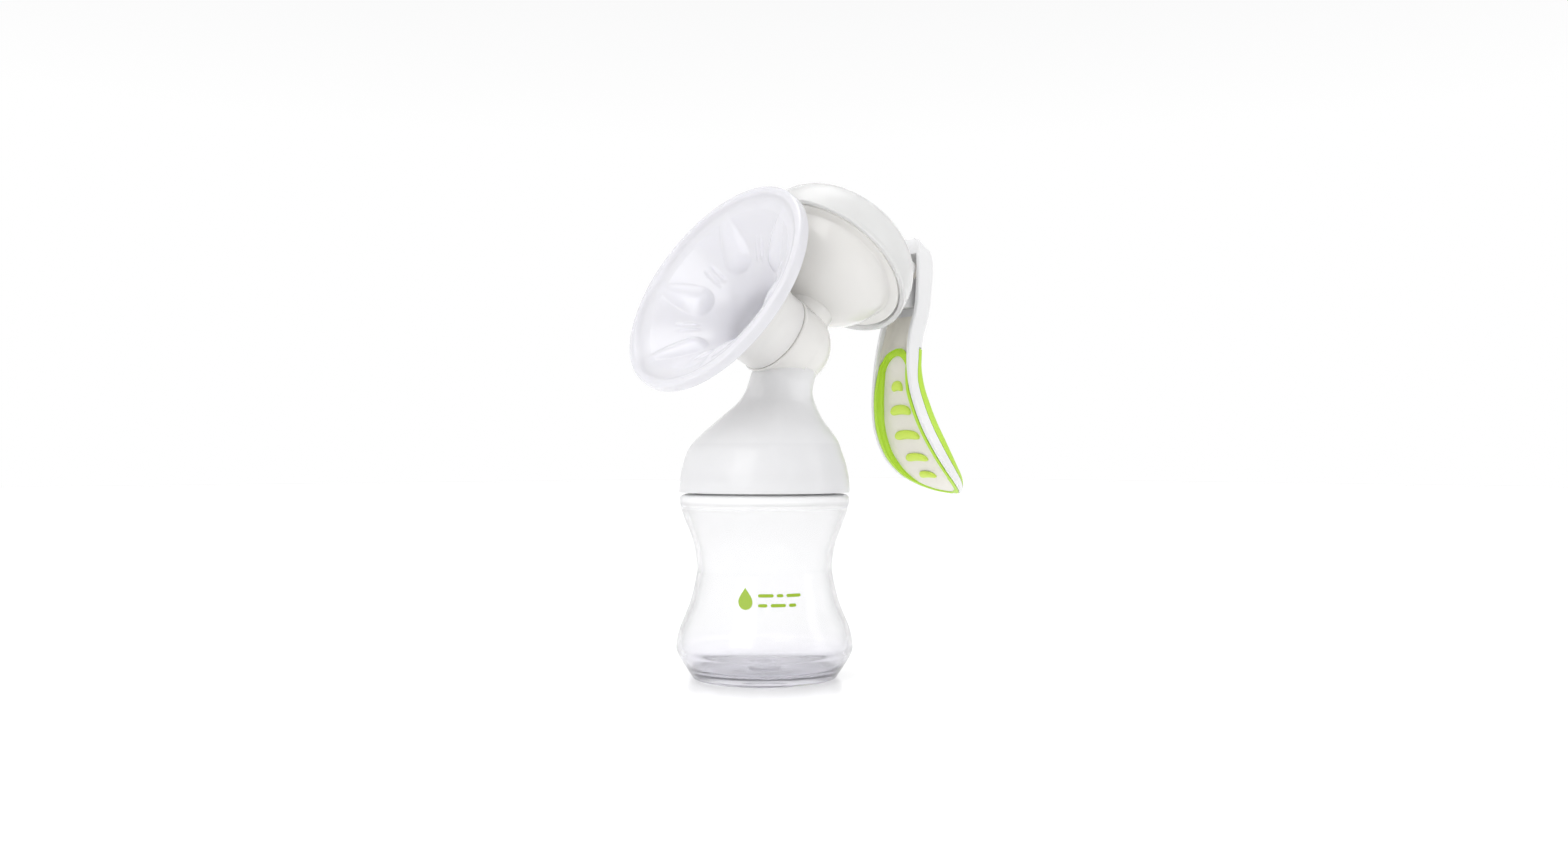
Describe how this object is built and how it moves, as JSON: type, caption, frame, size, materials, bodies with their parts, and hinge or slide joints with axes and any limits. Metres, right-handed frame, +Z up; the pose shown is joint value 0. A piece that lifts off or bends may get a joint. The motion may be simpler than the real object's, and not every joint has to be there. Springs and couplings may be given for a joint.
{
  "type": "breast pump",
  "caption": "Hand-operated breast pump: soft-lined funnel, diaphragm bowl under a domed cover, squeeze lever with soft grip, and a waisted feeding bottle screwed on below.",
  "frame": {"origin": "centre of the bottle's base, on the surface it stands on", "axes": "+Z up along the bottle's axis, +X towards the squeeze lever, -X towards the funnel; the pump is symmetric about Y = 0"},
  "size_m": [0.1507, 0.0844, 0.1821],
  "materials": {
    "clear_bottle": "translucent polypropylene, glossy outside",
    "clear_cover": "clear to slightly smoky polypropylene, glossy",
    "frosted_body": "milky translucent polypropylene, satin",
    "silicone": "translucent silicone with a lavender tint, satin",
    "white_plastic": "white moulded plastic, softly glossy",
    "green_rubber": "leaf-green soft-touch rubber, matt",
    "lime_rubber": "yellow-green soft-touch rubber, matt"
  },
  "bodies": {
    "bottle": {"bottle": "clear_bottle"},
    "seal": {"bottle_seal_ring": "silicone"},
    "head": {"pump_body": "frosted_body", "breast_shield": "frosted_body", "shield_o_ring": "silicone", "massage_cushion": "silicone", "duckbill_valve": "silicone", "chamber_cover": "clear_cover", "diaphragm": "silicone", "pivot_pin": "white_plastic"},
    "stem": {"diaphragm_stem": "white_plastic", "stem_retaining_disc": "white_plastic"},
    "handle": {"handle_lever": "white_plastic", "grip_outer_pad": "green_rubber", "grip_inner_rim": "green_rubber", "grip_bar_1": "lime_rubber", "grip_bar_2": "lime_rubber", "grip_bar_3": "lime_rubber", "grip_bar_4": "lime_rubber", "grip_bar_5": "lime_rubber"}
  },
  "joints": [
    {"name": "head_lift", "type": "slide", "parent": "bottle", "child": "seal", "axis": [0, 0, 1], "range_m": [0, 0.00562]},
    {"name": "head_turn", "type": "hinge", "parent": "seal", "child": "head", "pos_m": [0, 0, 0.066], "axis": [0, 0, 1], "range_deg": [0, 455]},
    {"name": "handle_squeeze", "type": "hinge", "parent": "head", "child": "handle", "pos_m": [0.0569, 0, 0.1436], "axis": [0, 1, 0], "range_deg": [0, 20], "stiffness_Nm_per_rad": 0.8, "springref_deg": -5.73},
    {"name": "stem_slide", "type": "slide", "parent": "head", "child": "stem", "axis": [0.6756, 0, 0.7373], "range_m": [0, 0.0088], "deforming": ["diaphragm"]}
  ],
  "couplings": [
    {"joint": "head_turn", "follows": "head_lift", "rad_per_m": 1396.3},
    {"joint": "stem_slide", "follows": "handle_squeeze", "m_per_rad": 0.02484}
  ]
}
